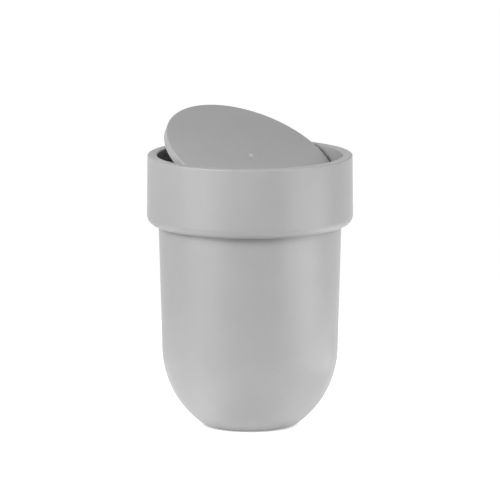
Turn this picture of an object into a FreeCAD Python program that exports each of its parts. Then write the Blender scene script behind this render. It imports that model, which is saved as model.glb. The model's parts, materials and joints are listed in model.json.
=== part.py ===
import FreeCAD, Part
import math
import os
from FreeCAD import Vector

# Swing-lid trash can: round-bellied bucket, lift-off collar, and a flap that swings in the collar's mouth.
# Millimetres and degrees. Z is up, the base centre is the origin and the flap turns about the X direction.

# Bucket
BODY_HEIGHT = 214.0         # floor to the top edge
BODY_RIM_RADIUS = 84.97     # outside of the top edge
BODY_DRAFT = 1.6            # lean of the side, narrower towards the base
BODY_WALL = 2.2
BODY_LIP_ROUND = 0.5        # rounding of the top edge
BELLY_RADIUS = 86.5         # wide arc that turns the side in under the bin
BASE_FILLET = 18.5          # arc from the belly to the flat base
BASE_RADIUS = 35.4          # flat base
BASE_RECESS = 0.8           # hollow inside the standing ring
FOOT_WIDTH = 7.0            # width of the standing ring

# Collar: mouth ring and outer band
RIM_STAND = 38.5            # seat on the bucket's edge to the top of the rim
RIM_WIDTH = 8.9             # mouth to the outside of the rim
RIM_CAP = 2.2               # thickness of the rim
RIM_ROUND = 1.5             # rounding of the rim's two edges
RING_WALL = 2.0             # inner wall of the mouth
SEAT_WALL = 2.2             # ledge that sits on the bucket's edge
SKIRT_DEPTH = 12.0          # guide skirt below the seat, round the bucket
SPIGOT_DEPTH = 5.0          # ring under the rim that the band is pushed on to
SPIGOT_WALL = 1.8
GUSSET_COUNT = 16           # ribs between the inner wall and the spigot
GUSSET_WALL = 1.4
COLLAR_DEPTH = 64.7         # rim top to the lowest point of the band
COLLAR_DRAFT = 0.5          # lean of the band, narrower towards the rim
BAND_WALL = 2.5

# Flap
LID_GAP = 3.3               # mouth wall to the flap's edge
LID_SINK = 0.4              # closed flap below the top of the rim
LID_TILT = 28.0             # how far the flap is tipped up at the back
LID_WALL = 2.0
LID_SKIRT_WALL = 2.2
LID_ROUND = 0.9             # rounding of the flap's two edges
GATE_RADIUS = 1.4           # moulding gate left as a low dome in the middle of the flap
GATE_HEIGHT = 0.45
LID_RIB_COUNT = 8
LID_RIB_WALL = 1.4
COVER_WALL = 1.6
PAN_RADIUS = 56.0           # dished middle of the cover
PAN_DEPTH = 7.0
WEIGHT_RADIUS = 32.0
WEIGHT_THICKNESS = 2.5
POST_RADIUS = 4.0           # post under the middle of the flap
SCREW_RADIUS = 1.5
SCREW_LENGTH = 11.0
SCREW_HEAD_RADIUS = 3.4
SCREW_HEAD_HEIGHT = 2.0
SCREW_SLOT_WIDTH = 0.9
SCREW_SLOT_DEPTH = 1.0

# Pivots
PIN_RADIUS = 1.5
PIN_COVER = 2.6             # flap above and below each pin
PIN_IN_LID = 12.0           # length pressed into the flap
PIN_FLAT = 0.5              # depth of the flat that keys a pin to the flap
LID_BOSS_LENGTH = 16.0
BOSS_INSET = 0.5            # bosses stay this far inside the faces that hide them
BUSH_WALL = 0.9
BUSH_END = 0.8              # closed outer end of a bush
STOP_LENGTH = 2.4           # length of the stop at the end of a pin
STOP_SWING = 82.0           # free swing each way from closed
STOP_MARGIN = 2.0           # swing left over at the stops
TONGUE_HALF_ANGLE = 42.0    # half of the pin's stop tongue

# Clearances
SKIRT_CLEARANCE = 0.6       # collar round the bucket
CURL_CLEARANCE = 1.2        # band's lower lip to the bucket's edge as the collar lifts off
SPIGOT_CLEARANCE = 0.1
COVER_CLEARANCE = 0.15
NOTCH_CLEARANCE = 0.3
WEIGHT_CLEARANCE = 0.2
PRESS_CLEARANCE = 0.02
PIN_CLEARANCE = 0.06
THRUST_CLEARANCE = 0.4      # bush to the flap's edge
STOP_CLEARANCE = 0.15

# Sizes that follow from these
RIM_TOP = BODY_HEIGHT + RIM_STAND
MOUTH_RADIUS = BODY_RIM_RADIUS + SKIRT_CLEARANCE
RIM_RADIUS = MOUTH_RADIUS + RIM_WIDTH
RING_RADIUS = MOUTH_RADIUS + RING_WALL
BAND_TOP = RIM_TOP - RIM_CAP
BAND_BOTTOM = RIM_TOP - COLLAR_DEPTH
SPIGOT_RADIUS = RIM_RADIUS - BAND_WALL - SPIGOT_CLEARANCE
LID_RADIUS = MOUTH_RADIUS - LID_GAP
LID_HALF = PIN_RADIUS + PIN_COVER
LID_BOSS_RADIUS = LID_HALF - BOSS_INSET
RING_BOSS_RADIUS = LID_HALF + LID_SINK - BOSS_INSET
PIVOT_Z = RIM_TOP - LID_SINK - LID_HALF
COVER_SEAT_RADIUS = LID_RADIUS - LID_SKIRT_WALL
COVER_TOP = COVER_WALL - LID_HALF
PAN_FLOOR = COVER_TOP - PAN_DEPTH
PAN_UNDERSIDE = PAN_FLOOR - COVER_WALL
BUSH_BORE = PIN_RADIUS + PIN_CLEARANCE
BUSH_RADIUS = BUSH_BORE + BUSH_WALL
BUSH_INNER_END = LID_RADIUS + THRUST_CLEARANCE
BUSH_OUTER_END = SPIGOT_RADIUS - SPIGOT_CLEARANCE
PIN_INNER_END = LID_RADIUS - PIN_IN_LID
PIN_OUTER_END = BUSH_OUTER_END - BUSH_END - STOP_CLEARANCE
STOP_START = PIN_OUTER_END - STOP_LENGTH

ORIGIN = Vector(0, 0, 0)
X_AXIS = Vector(1, 0, 0)
Z_AXIS = Vector(0, 0, 1)


def sine(degrees):
    return math.sin(math.radians(degrees))


def cosine(degrees):
    return math.cos(math.radians(degrees))


def polar(centre, radius, degrees):
    """Point of a circle in the (radius, height) plane."""
    return (centre[0] + radius * cosine(degrees), centre[1] + radius * sine(degrees))


def arc(centre, radius, start, end):
    """Outline step along a circle: a point passed on the way, and the end point."""
    return (polar(centre, radius, (start + end) / 2), polar(centre, radius, end))


def spin(start, *steps):
    """Solid turned about Z from a closed outline of lines and arcs in the (radius, height) plane."""
    edges = []
    here = Vector(start[0], 0, start[1])
    for step in steps + (start,):
        if isinstance(step[0], tuple):
            through, end = (Vector(r, 0, z) for r, z in step)
            edges.append(Part.Arc(here, through, end).toShape())
        else:
            end = Vector(step[0], 0, step[1])
            edges.append(Part.LineSegment(here, end).toShape())
        here = end
    return Part.Face(Part.Wire(edges)).revolve(ORIGIN, Z_AXIS, 360)


def rod(radius, start, end):
    """Cylinder along X."""
    return Part.makeCylinder(radius, end - start, Vector(start, 0, 0), X_AXIS)


def plate(x_start, x_end, width, bottom, top):
    """Box centred on the XZ plane."""
    corner = Vector(x_start, -width / 2, bottom)
    return Part.makeBox(x_end - x_start, width, top - bottom, corner)


def spokes(shape, count):
    """Copies of a shape round Z, set half a step off the X direction."""
    step = 360 / count
    return [shape.rotated(ORIGIN, Z_AXIS, step * (i + 0.5)) for i in range(count)]


def opposite(shape):
    """The same shape on the other side of the bin."""
    return shape.rotated(ORIGIN, Z_AXIS, 180)


def raised(shape):
    """A shape modelled about the pivot line, lifted to the height of the closed flap."""
    return shape.translated(Vector(0, 0, PIVOT_Z))


def tipped(shape):
    """A piece of the flap, tipped up at the back."""
    return raised(shape.rotated(ORIGIN, X_AXIS, LID_TILT))


def belly_centre():
    """Centre of the wide arc that touches both the straight side and the base fillet."""
    side_foot = BODY_RIM_RADIUS - BODY_HEIGHT * math.tan(math.radians(BODY_DRAFT))
    fillet_to_side = (side_foot - BASE_RADIUS) * cosine(BODY_DRAFT) + BASE_FILLET * sine(BODY_DRAFT)
    inward = BELLY_RADIUS - fillet_to_side
    rise = math.sqrt((BELLY_RADIUS - BASE_FILLET) ** 2 - inward ** 2)
    level = polar((BASE_RADIUS, BASE_FILLET), -inward, -BODY_DRAFT)
    return polar(level, rise, 90 - BODY_DRAFT)


def floor_fillet(belly, wall, floor):
    """Base fillet moved in by a wall: its centre, its radius and the angle where it meets the belly."""
    fillet = BASE_FILLET - wall
    span = BELLY_RADIUS - wall - fillet
    turn = -math.degrees(math.asin((belly[1] - floor - fillet) / span))
    return polar(belly, span, turn), fillet, turn


def bin_body():
    """Bucket of even wall with a flat lip, a round belly and a standing ring."""
    floor = BASE_RECESS + BODY_WALL
    belly = belly_centre()
    corner, fillet, turn = floor_fillet(belly, 0, 0)
    in_corner, in_fillet, in_turn = floor_fillet(belly, BODY_WALL, floor)
    in_belly = BELLY_RADIUS - BODY_WALL
    foot = BASE_RADIUS - FOOT_WIDTH
    lean = math.tan(math.radians(BODY_DRAFT))
    lip_height = BODY_HEIGHT - BODY_LIP_ROUND
    outer = BODY_RIM_RADIUS - BODY_LIP_ROUND * (1 + lean)
    inner = BODY_RIM_RADIUS - BODY_WALL / cosine(BODY_DRAFT) + BODY_LIP_ROUND * (1 - lean)
    return spin(
        (0, BASE_RECESS),
        (foot, BASE_RECESS),
        (foot + BASE_RECESS, 0),
        (BASE_RADIUS, 0),
        arc(corner, fillet, -90, turn),
        arc(belly, BELLY_RADIUS, turn, -BODY_DRAFT),
        (outer + BODY_LIP_ROUND, lip_height),
        arc((outer, lip_height), BODY_LIP_ROUND, 0, 90),
        (inner, BODY_HEIGHT),
        arc((inner, lip_height), BODY_LIP_ROUND, 90, 180),
        polar(belly, in_belly, -BODY_DRAFT),
        arc(belly, in_belly, -BODY_DRAFT, in_turn),
        arc(in_corner, in_fillet, in_turn, -90),
        (0, floor),
    )


def collar_band():
    """Outer sleeve of the collar: leans in towards the rim and curls in at its lower edge."""
    lean = math.tan(math.radians(COLLAR_DRAFT))
    lip = BODY_RIM_RADIUS + CURL_CLEARANCE
    reach = RIM_RADIUS - lip + (BAND_TOP - BAND_BOTTOM) * lean
    curl = reach / (cosine(COLLAR_DRAFT) + (1 + sine(COLLAR_DRAFT)) * lean)
    centre = (lip, BAND_BOTTOM + curl)
    inner_curl = curl - BAND_WALL
    inner_top = RIM_RADIUS - BAND_WALL / cosine(COLLAR_DRAFT)
    return spin(
        (RIM_RADIUS, BAND_TOP),
        polar(centre, curl, COLLAR_DRAFT),
        arc(centre, curl, COLLAR_DRAFT, -90),
        polar(centre, inner_curl, -90),
        arc(centre, inner_curl, -90, COLLAR_DRAFT),
        (inner_top, BAND_TOP),
    )


def rim_ring():
    """Mouth ring: rim, inner wall, seat on the bucket, guide skirt, and a boss for each bush."""
    round_height = RIM_TOP - RIM_ROUND
    spigot_bottom = BAND_TOP - SPIGOT_DEPTH
    spigot_inner = SPIGOT_RADIUS - SPIGOT_WALL
    seat_radius = BODY_RIM_RADIUS - BODY_WALL
    seat_top = BODY_HEIGHT + SEAT_WALL
    ring = spin(
        (MOUTH_RADIUS, round_height),
        arc((MOUTH_RADIUS + RIM_ROUND, round_height), RIM_ROUND, 180, 90),
        (RIM_RADIUS - RIM_ROUND, RIM_TOP),
        arc((RIM_RADIUS - RIM_ROUND, round_height), RIM_ROUND, 90, 0),
        (RIM_RADIUS, BAND_TOP),
        (SPIGOT_RADIUS, BAND_TOP),
        (SPIGOT_RADIUS, spigot_bottom),
        (spigot_inner, spigot_bottom),
        (spigot_inner, BAND_TOP),
        (RING_RADIUS, BAND_TOP),
        (RING_RADIUS, BODY_HEIGHT - SKIRT_DEPTH),
        (MOUTH_RADIUS, BODY_HEIGHT - SKIRT_DEPTH),
        (MOUTH_RADIUS, BODY_HEIGHT),
        (seat_radius, BODY_HEIGHT),
        (seat_radius, seat_top),
        (MOUTH_RADIUS, seat_top + MOUTH_RADIUS - seat_radius),
    )
    wall_middle = MOUTH_RADIUS + RING_WALL / 2
    spigot_middle = SPIGOT_RADIUS - SPIGOT_WALL / 2
    gusset = plate(wall_middle, spigot_middle, GUSSET_WALL, spigot_bottom, BAND_TOP + RIM_CAP / 2)
    boss = raised(rod(RING_BOSS_RADIUS, wall_middle, spigot_middle))
    bore = raised(rod(BUSH_RADIUS + PRESS_CLEARANCE, LID_RADIUS, RIM_RADIUS - BAND_WALL))
    ring = ring.fuse(spokes(gusset, GUSSET_COUNT) + [boss, opposite(boss)])
    return ring.cut([bore, opposite(bore)]).removeSplitter()


def wedge(half_angle, start, end, upward):
    """Prism along X whose two faces meet near the pivot line and open upwards or downwards."""
    sign = 1 if upward else -1
    reach = 2 * BUSH_RADIUS
    tip = sign * STOP_CLEARANCE / 2
    rise = sign * reach * cosine(half_angle)
    side = reach * sine(half_angle)
    corners = [(0, tip), (side, tip + rise), (0, tip + sign * reach), (-side, tip + rise)]
    points = [Vector(start, y, z) for y, z in corners + corners[:1]]
    return Part.Face(Part.makePolygon(points)).extrude(Vector(end - start, 0, 0))


def pivot_bush():
    """Bush that spaces the flap off the ring, with a fixed stop above the pin's tongue."""
    blind_end = BUSH_OUTER_END - BUSH_END
    key_half_angle = 180 - TONGUE_HALF_ANGLE - STOP_SWING - STOP_MARGIN
    bush = rod(BUSH_RADIUS, BUSH_INNER_END, BUSH_OUTER_END)
    bore = rod(BUSH_BORE, BUSH_INNER_END, blind_end)
    key = wedge(key_half_angle, STOP_START + STOP_CLEARANCE, blind_end, True)
    return bush.cut(bore.cut(key))


def pivot_pin():
    """Pin with a flat that keys it into the flap and a tongue that meets the bush's stop."""
    pin = rod(PIN_RADIUS, PIN_INNER_END, STOP_START)
    flat_bottom = PIN_RADIUS - PIN_FLAT
    pin = pin.cut(plate(PIN_INNER_END, LID_RADIUS, 2 * PIN_RADIUS, flat_bottom, PIN_RADIUS))
    tongue = rod(PIN_RADIUS, STOP_START, PIN_OUTER_END)
    tongue = tongue.common(wedge(TONGUE_HALF_ANGLE, STOP_START, PIN_OUTER_END, False))
    return pin.fuse(tongue)


def pin_socket():
    """Keyed hole in the flap for a pin."""
    hole = rod(PIN_RADIUS + PRESS_CLEARANCE, PIN_INNER_END, LID_RADIUS + LID_GAP)
    flat_bottom = PIN_RADIUS - PIN_FLAT + PRESS_CLEARANCE
    return hole.cut(plate(PIN_INNER_END, LID_RADIUS + LID_GAP, LID_HALF, flat_bottom, LID_HALF))


def lid_top():
    """Flap shell: flat disc with a rolled edge and gate mark, ribs below, a middle post and pin bosses."""
    inside = LID_HALF - LID_WALL
    edge = LID_RADIUS - LID_ROUND
    edge_height = LID_HALF - LID_ROUND
    gate_top = LID_HALF + GATE_HEIGHT
    gate_arc = (GATE_RADIUS ** 2 + GATE_HEIGHT ** 2) / (2 * GATE_HEIGHT)
    gate_edge = math.degrees(math.acos(GATE_RADIUS / gate_arc))
    shell = spin(
        (0, gate_top),
        arc((0, gate_top - gate_arc), gate_arc, 90, gate_edge),
        (edge, LID_HALF),
        arc((edge, edge_height), LID_ROUND, 90, 0),
        (LID_RADIUS, -edge_height),
        arc((edge, -edge_height), LID_ROUND, 0, -90),
        (COVER_SEAT_RADIUS, -LID_HALF),
        (COVER_SEAT_RADIUS, inside),
        (0, inside),
    )
    bonded = inside + LID_WALL / 2
    skirt_middle = LID_RADIUS - LID_SKIRT_WALL / 2
    weight_top = PAN_FLOOR + WEIGHT_THICKNESS
    rib = plate(0, skirt_middle, LID_RIB_WALL, COVER_TOP, bonded)
    hold_down = plate(0, WEIGHT_RADIUS - POST_RADIUS, LID_RIB_WALL, weight_top + WEIGHT_CLEARANCE, bonded)
    post = Part.makeCylinder(POST_RADIUS, bonded - PAN_FLOOR, Vector(0, 0, PAN_FLOOR))
    boss = rod(LID_BOSS_RADIUS, LID_RADIUS - LID_BOSS_LENGTH, skirt_middle)
    socket = pin_socket()
    pilot = Part.makeCylinder(SCREW_RADIUS + PRESS_CLEARANCE, SCREW_LENGTH, Vector(0, 0, PAN_UNDERSIDE))
    shell = shell.fuse(spokes(rib.fuse(hold_down), LID_RIB_COUNT) + [post, boss, opposite(boss)])
    return shell.cut([pilot, socket, opposite(socket)]).removeSplitter()


def lid_under_cover():
    """Dished pan that closes the flap from below, notched round the pin bosses."""
    radius = COVER_SEAT_RADIUS - COVER_CLEARANCE
    centre = (PAN_RADIUS - PAN_DEPTH, -LID_HALF)
    cover = spin(
        (0, PAN_FLOOR),
        (centre[0], PAN_FLOOR),
        arc(centre, PAN_DEPTH - COVER_WALL, -90, 0),
        (PAN_RADIUS - COVER_WALL, COVER_TOP),
        (radius, COVER_TOP),
        (radius, -LID_HALF),
        (PAN_RADIUS, -LID_HALF),
        arc(centre, PAN_DEPTH, 0, -90),
        (0, PAN_UNDERSIDE),
    )
    notch_start = LID_RADIUS - LID_BOSS_LENGTH - NOTCH_CLEARANCE
    notch_width = 2 * (LID_BOSS_RADIUS + NOTCH_CLEARANCE)
    notch = plate(notch_start, LID_RADIUS, notch_width, -LID_HALF, COVER_TOP)
    hole = Part.makeCylinder(SCREW_RADIUS + WEIGHT_CLEARANCE, COVER_WALL, Vector(0, 0, PAN_UNDERSIDE))
    return cover.cut([notch, opposite(notch), hole])


def balance_weight():
    """Steel disc on the floor of the pan, round the flap's post."""
    disc = Part.makeCylinder(WEIGHT_RADIUS, WEIGHT_THICKNESS, Vector(0, 0, PAN_FLOOR))
    hole = Part.makeCylinder(POST_RADIUS + WEIGHT_CLEARANCE, WEIGHT_THICKNESS, Vector(0, 0, PAN_FLOOR))
    return disc.cut(hole)


def cover_screw():
    """Cross-slotted screw up through the pan into the post."""
    bottom = PAN_UNDERSIDE - SCREW_HEAD_HEIGHT
    dome = SCREW_HEAD_HEIGHT / 2
    screw = spin(
        (0, bottom),
        (SCREW_HEAD_RADIUS - dome, bottom),
        arc((SCREW_HEAD_RADIUS - dome, bottom + dome), dome, -90, 0),
        (SCREW_HEAD_RADIUS, PAN_UNDERSIDE),
        (SCREW_RADIUS, PAN_UNDERSIDE),
        (SCREW_RADIUS, PAN_UNDERSIDE + SCREW_LENGTH),
        (0, PAN_UNDERSIDE + SCREW_LENGTH),
    )
    slot_reach = SCREW_HEAD_RADIUS - dome
    slot = plate(-slot_reach, slot_reach, SCREW_SLOT_WIDTH, bottom, bottom + SCREW_SLOT_DEPTH)
    return screw.cut([slot, slot.rotated(ORIGIN, Z_AXIS, 90)])


def main():
    bush = raised(pivot_bush())
    pin = pivot_pin()
    pieces = {
        "bin_body": bin_body(),
        "collar_band": collar_band(),
        "rim_ring": rim_ring(),
        "pivot_bush_right": bush,
        "pivot_bush_left": opposite(bush),
        "lid_top": tipped(lid_top()),
        "lid_under_cover": tipped(lid_under_cover()),
        "balance_weight": tipped(balance_weight()),
        "cover_screw": tipped(cover_screw()),
        "pivot_pin_right": tipped(pin),
        "pivot_pin_left": tipped(opposite(pin)),
    }
    os.makedirs("parts", exist_ok=True)
    for name, shape in pieces.items():
        shape.exportStep(f"parts/{name}.step")


main()
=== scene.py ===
import json
import math

import bpy
from mathutils import Matrix, Vector

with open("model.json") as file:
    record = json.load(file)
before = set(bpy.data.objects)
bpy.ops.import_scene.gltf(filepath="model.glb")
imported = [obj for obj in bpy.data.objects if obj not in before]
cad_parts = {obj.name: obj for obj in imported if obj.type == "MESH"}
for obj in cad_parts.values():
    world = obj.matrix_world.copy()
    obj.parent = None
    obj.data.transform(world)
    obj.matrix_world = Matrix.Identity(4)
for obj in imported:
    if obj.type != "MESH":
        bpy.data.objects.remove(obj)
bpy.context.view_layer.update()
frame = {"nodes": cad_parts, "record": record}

nodes = frame["nodes"]

# Swing-lid trash can: paint for the CAD nodes, a white table top, the photograph's camera and soft light.
# Lengths are in metres, greys in linear light, and noise scales count features per metre.
UP = Vector((0, 0, 1))
WHITE = (1, 1, 1, 1)

# Camera of the photograph: a long lens, which looks at the bin from a little above
VIEW_TURN = math.radians(42.58)
VIEW_ELEVATION = math.radians(9.83)
VIEW_DISTANCE = 8.0
VIEW_CENTRE_HEIGHT = 0.124
VIEW_AIM_HEIGHT = 0.163
LENS_MM = 624.3
SENSOR_MM = 36.0
CLIP_START = 0.1
CLIP_END = 100.0

# Level directions of the view: away from the camera, and to the right in the picture
LOOK = Vector((math.sin(VIEW_TURN), math.cos(VIEW_TURN), 0))
RIGHT = Vector((math.cos(VIEW_TURN), -math.sin(VIEW_TURN), 0))

# Values of a noise between which nearly all of it lies
NOISE_SPAN = (0.3, 0.7)

# Matte plastic: the colour varies between two shares of the grey, the gloss between two steps of roughness
SHELL_GREY = 0.42
SHELL_ROUGHNESS = 0.38
SHELL_GRAIN = 0.25
BUSH_GREY = 0.36
BUSH_ROUGHNESS = 0.35
BUSH_GRAIN = 0.1
PLASTIC_SPECULAR = 0.8
PLASTIC_SHARES = (0.975, 1.025)
PLASTIC_STEPS = (-0.03, 0.03)
PLASTIC_CLOUD_SCALE = 26.0
PLASTIC_CLOUD_DETAIL = 3.0
SPARK_SCALE = 2600.0
SPARK_DETAIL = 3.0
SPARK_DEPTH = 0.00004

# Painted highlight in the middle of the flap, on the small dome where the plastic entered the mould: its
# centre, the two radii between which it fades, and how many times paler the flap's colour is painted there
GATE_PLACE = (0.0, -0.00214, 0.25202)
GATE_HIGHLIGHT_INNER = 0.0014
GATE_HIGHLIGHT_OUTER = 0.0034
GATE_HIGHLIGHT_GAIN = 1.4

# Turned steel, with shares and steps as for the plastic
STEEL_GREY = 0.55
STEEL_ROUGHNESS = 0.3
STEEL_SHARES = (0.92, 1.06)
STEEL_STEPS = (-0.06, 0.08)
STEEL_CLOUD_SCALE = 60.0
STEEL_CLOUD_DETAIL = 2.0
MARKS_SCALE = 2400.0
MARKS_DETAIL = 2.0
MARKS_STRETCH = (1.0, 0.05, 0.05)

# Table top: values near and far, and the distances from the bin's axis between which they change
FLOOR_HALF = 6.0
FLOOR_MATTE = (0.86, 0.15)
FLOOR_MATTE_SPAN = (0.22, 0.40)
FLOOR_GLOW = (0.2, 1.0)
FLOOR_GLOW_SPAN = (0.0355, 0.05)

# Places of the lamps, and the strength of the surroundings as light
SOFTBOX_DISTANCE = 0.62
OVERHEAD_DISTANCE = 0.9
TABLE_LIGHT_LIFT = 0.0005
WORLD_LIGHT = 0.06


class Paint:
    """Node tree of a new material or world, from its first node to its output."""

    def __init__(self, owner):
        self.owner = owner
        owner.use_nodes = True
        self.tree = owner.node_tree
        self.tree.nodes.clear()

    def add(self, kind, values=None, **settings):
        """Adds a node; values go to its inputs, settings to its own properties."""
        node = self.tree.nodes.new("ShaderNode" + kind)
        for key, setting in settings.items():
            setattr(node, key, setting)
        for key, value in (values or {}).items():
            node.inputs[key].default_value = value
        return node

    def link(self, out, into):
        self.tree.links.new(out, into)

    def finished(self, output, out):
        """Ends the tree with its output node, and returns the material or world."""
        self.link(out, self.add(output).inputs["Surface"])
        return self.owner


def ramp(paint, source, values, span=(0.0, 1.0)):
    """Goes evenly from the first value to the second while the source crosses the span."""
    limits = {"From Min": span[0], "From Max": span[1], "To Min": values[0], "To Max": values[1]}
    node = paint.add("MapRange", limits)
    paint.link(source, node.inputs["Value"])
    return node.outputs["Result"]


def noise(paint, place, scale, detail):
    node = paint.add("TexNoise", {"Scale": scale, "Detail": detail})
    paint.link(place, node.inputs["Vector"])
    return node.outputs["Fac"]


def combined(paint, operation, first, second):
    """Two values through one arithmetic operation."""
    node = paint.add("Math", operation=operation)
    paint.link(first, node.inputs[0])
    paint.link(second, node.inputs[1])
    return node.outputs["Value"]


def neutral(paint, shade):
    """Colour that has the shade in all three channels."""
    node = paint.add("CombineColor")
    for channel in ("Red", "Green", "Blue"):
        paint.link(shade, node.inputs[channel])
    return node.outputs["Color"]


def clouded(paint, cloud, grey, shares):
    """Grey that follows a noise between two shares of its value."""
    return ramp(paint, cloud, (grey * shares[0], grey * shares[1]), NOISE_SPAN)


def uneven(paint, marks, roughness, steps):
    """Roughness that follows a noise between two steps from its value."""
    return ramp(paint, marks, (roughness + steps[0], roughness + steps[1]), NOISE_SPAN)


def moulded(name, grey, roughness, grain, gate=None):
    """Matte moulded plastic: slightly clouded colour, and a fine spark texture in relief and gloss.

    The gate is the centre of a paler spot, a painted highlight for the light that the gate mark's small dome
    catches.
    """
    paint = Paint(bpy.data.materials.new(name))
    place = paint.add("TexCoord").outputs["Object"]
    spark = noise(paint, place, SPARK_SCALE, SPARK_DETAIL)
    cloud = noise(paint, place, PLASTIC_CLOUD_SCALE, PLASTIC_CLOUD_DETAIL)
    shade = clouded(paint, cloud, grey, PLASTIC_SHARES)
    if gate is not None:
        # Painted highlight: the flap's colour is made paler round the gate mark
        away = paint.add("VectorMath", {1: gate}, operation="DISTANCE")
        paint.link(place, away.inputs[0])
        painted_highlight = ramp(paint, away.outputs["Value"], (GATE_HIGHLIGHT_GAIN, 1.0), (GATE_HIGHLIGHT_INNER, GATE_HIGHLIGHT_OUTER))
        shade = combined(paint, "MULTIPLY", shade, painted_highlight)
    relief = paint.add("Bump", {"Strength": grain, "Distance": SPARK_DEPTH})
    paint.link(spark, relief.inputs["Height"])
    shader = paint.add("BsdfPrincipled", {"Specular IOR Level": PLASTIC_SPECULAR})
    paint.link(neutral(paint, shade), shader.inputs["Base Color"])
    paint.link(uneven(paint, spark, roughness, PLASTIC_STEPS), shader.inputs["Roughness"])
    paint.link(relief.outputs["Normal"], shader.inputs["Normal"])
    return paint.finished("OutputMaterial", shader.outputs["BSDF"])


def turned_steel(name):
    """Plain steel with fine turning marks, which run round the pins and straight across flat faces."""
    paint = Paint(bpy.data.materials.new(name))
    place = paint.add("TexCoord").outputs["Object"]
    stretched = paint.add("Mapping", {"Scale": MARKS_STRETCH})
    paint.link(place, stretched.inputs["Vector"])
    marks = noise(paint, stretched.outputs["Vector"], MARKS_SCALE, MARKS_DETAIL)
    cloud = noise(paint, place, STEEL_CLOUD_SCALE, STEEL_CLOUD_DETAIL)
    shader = paint.add("BsdfPrincipled", {"Metallic": 1.0})
    shade = clouded(paint, cloud, STEEL_GREY, STEEL_SHARES)
    paint.link(neutral(paint, shade), shader.inputs["Base Color"])
    paint.link(uneven(paint, marks, STEEL_ROUGHNESS, STEEL_STEPS), shader.inputs["Roughness"])
    return paint.finished("OutputMaterial", shader.outputs["BSDF"])


def seen_directly(paint):
    """1 for what the camera sees, also in gloss and through glass, and 0 for light that bounces."""
    rays = paint.add("LightPath")
    sight = rays.outputs["Is Camera Ray"]
    for kind in ("Is Glossy Ray", "Is Transmission Ray"):
        sight = combined(paint, "MAXIMUM", sight, rays.outputs[kind])
    return sight


def floor_paint():
    """Matte white table top, which keeps the bin's shadow at its foot and glows plain white beyond.

    The glow is seen, also in gloss, but gives no other light. Far off the matte is dark, to send little up.
    """
    paint = Paint(bpy.data.materials.new("floor_white"))
    away = paint.add("VectorMath", operation="LENGTH")
    paint.link(paint.add("TexCoord").outputs["Object"], away.inputs[0])
    matte = ramp(paint, away.outputs["Value"], FLOOR_MATTE, FLOOR_MATTE_SPAN)
    white = ramp(paint, away.outputs["Value"], FLOOR_GLOW, FLOOR_GLOW_SPAN)
    diffuse = paint.add("BsdfDiffuse")
    paint.link(neutral(paint, matte), diffuse.inputs["Color"])
    glow = paint.add("Emission", {"Color": WHITE})
    paint.link(combined(paint, "MULTIPLY", white, seen_directly(paint)), glow.inputs["Strength"])
    both = paint.add("AddShader")
    paint.link(diffuse.outputs["BSDF"], both.inputs[0])
    paint.link(glow.outputs["Emission"], both.inputs[1])
    return paint.finished("OutputMaterial", both.outputs["Shader"])


def studio_world():
    """White surroundings: full white where they are seen, and dim as light."""
    paint = Paint(bpy.data.worlds.new("studio"))
    background = paint.add("Background", {"Color": WHITE})
    paint.link(ramp(paint, seen_directly(paint), (WORLD_LIGHT, 1.0)), background.inputs["Strength"])
    return paint.finished("OutputWorld", background.outputs["Background"])


def placed(name, data):
    """New object in the scene."""
    thing = bpy.data.objects.new(name, data)
    bpy.context.scene.collection.objects.link(thing)
    return thing


def table_top():
    """Square floor under the bin."""
    mesh = bpy.data.meshes.new("floor")
    corners = [(-FLOOR_HALF, -FLOOR_HALF, 0), (FLOOR_HALF, -FLOOR_HALF, 0),
               (FLOOR_HALF, FLOOR_HALF, 0), (-FLOOR_HALF, FLOOR_HALF, 0)]
    mesh.from_pydata(corners, [], [(0, 1, 2, 3)])
    mesh.materials.append(floor_paint())
    return placed("floor", mesh)


def photo_camera():
    """Camera that stands off from a point on the bin's axis and aims at another, higher one."""
    data = bpy.data.cameras.new("camera")
    data.lens = LENS_MM
    data.sensor_width = SENSOR_MM
    data.clip_start = CLIP_START
    data.clip_end = CLIP_END
    eye = UP * (VIEW_CENTRE_HEIGHT + VIEW_DISTANCE * math.sin(VIEW_ELEVATION))
    eye -= LOOK * VIEW_DISTANCE * math.cos(VIEW_ELEVATION)
    camera = placed("camera", data)
    camera.location = eye
    camera.rotation_euler = (UP * VIEW_AIM_HEIGHT - eye).to_track_quat("-Z", "Y").to_euler()
    return camera


def lamp(name, centre, outward, sideways, size, radiance, in_gloss=True):
    """Soft rectangular lamp that faces against outward; its power follows from its radiance."""
    data = bpy.data.lights.new(name, "AREA")
    data.shape = "RECTANGLE"
    data.size, data.size_y = size
    data.energy = radiance * math.pi * data.size * data.size_y
    source = placed(name, data)
    source.location = centre
    axes = Matrix((sideways, outward.cross(sideways), outward)).transposed()
    source.rotation_euler = axes.to_euler()
    source.visible_camera = False
    source.visible_glossy = in_gloss


def direction(turn, rise=0.0):
    """Unit vector away from the bin, in degrees: turn from the camera to the right, rise upwards."""
    around = math.radians(turn)
    upwards = math.radians(rise)
    level = -LOOK * math.cos(around) + RIGHT * math.sin(around)
    return level * math.cos(upwards) + UP * math.sin(upwards)


def standing(name, turn, width, low, high, radiance, in_gloss=True):
    """Upright softbox beside the bin, between two heights."""
    outward = direction(turn)
    centre = outward * SOFTBOX_DISTANCE + UP * ((low + high) / 2)
    lamp(name, centre, outward, direction(turn + 90), (width, high - low), radiance, in_gloss)


def overhead(name, turn, rise, width, height, radiance):
    """Softbox that looks down at the bin."""
    outward = direction(turn, rise)
    centre = outward * OVERHEAD_DISTANCE + UP * VIEW_CENTRE_HEIGHT
    lamp(name, centre, outward, direction(turn + 90), (width, height), radiance)


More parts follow.
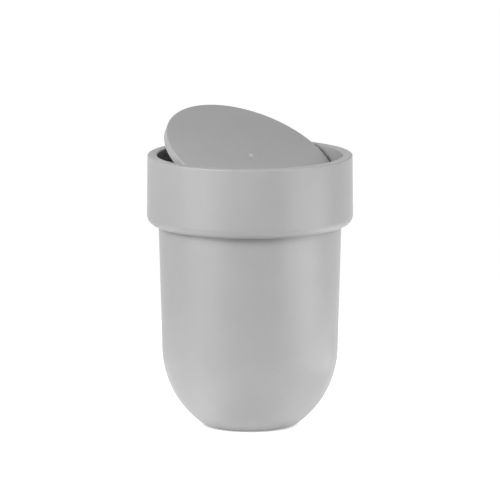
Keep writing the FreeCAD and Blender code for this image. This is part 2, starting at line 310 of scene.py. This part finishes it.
def table_light(name, across, ahead, width, depth, radiance, in_gloss=True):
    """Lit patch of the table top, which shines upwards; across is to the right, ahead towards the camera."""
    centre = RIGHT * across - LOOK * ahead + UP * TABLE_LIGHT_LIFT
    lamp(name, centre, -UP, RIGHT, (width, depth), radiance, in_gloss)


# Paint on the CAD nodes: the flap has the shell's plastic with a painted highlight at its gate mark
paints = {
    "shell_plastic": moulded("shell_matte", SHELL_GREY, SHELL_ROUGHNESS, SHELL_GRAIN),
    "bush_plastic": moulded("bush_matte", BUSH_GREY, BUSH_ROUGHNESS, BUSH_GRAIN),
    "steel": turned_steel("pin_steel"),
}
for part in frame["record"]["subparts"]:
    mesh = nodes[part["node"]].data
    mesh.materials.clear()
    mesh.materials.append(paints[part["material_slot"]])
flap_paint_with_highlight = moulded("flap_matte_painted_highlight", SHELL_GREY, SHELL_ROUGHNESS, SHELL_GRAIN, gate=GATE_PLACE)
nodes["lid_top"].data.materials[0] = flap_paint_with_highlight

floor = table_top()
bpy.context.scene.camera = photo_camera()

# Softboxes at both sides, which draw the pale upright bands on bucket and collar, and one in front
standing("left_low", turn=-52, width=0.50, low=0.001, high=0.16, radiance=1.92)
standing("left_high", turn=-50, width=0.514, low=0.36, high=0.70, radiance=5.8)
standing("right_low", turn=65, width=0.58, low=0.001, high=0.16, radiance=3.05)
standing("right_high", turn=57.5, width=0.332, low=0.36, high=0.70, radiance=3.95)
overhead("front_top", turn=-3, rise=42, width=0.9, height=0.3, radiance=2.5)

# Light from behind, left out of the gloss so that it draws no bright outlines
standing("back_fill", turn=180, width=0.8, low=0.001, high=0.235, radiance=3.3, in_gloss=False)
table_light("table_back", across=0.0, ahead=-0.25, width=0.5, depth=0.3, radiance=1.0, in_gloss=False)

# Light that the table throws up at the belly
table_light("table_front", across=0.0, ahead=0.12, width=0.08, depth=0.16, radiance=0.11)
table_light("table_left", across=-0.12, ahead=0.12, width=0.16, depth=0.16, radiance=0.54)
table_light("table_right", across=0.12, ahead=0.12, width=0.16, depth=0.16, radiance=0.38)
table_light("table_far_left", across=-0.36, ahead=0.0, width=0.28, depth=0.36, radiance=0.63)
table_light("table_far_right", across=0.36, ahead=0.0, width=0.28, depth=0.36, radiance=1.7)

bpy.context.scene.world = studio_world()
bpy.context.scene.view_settings.view_transform = "Standard"
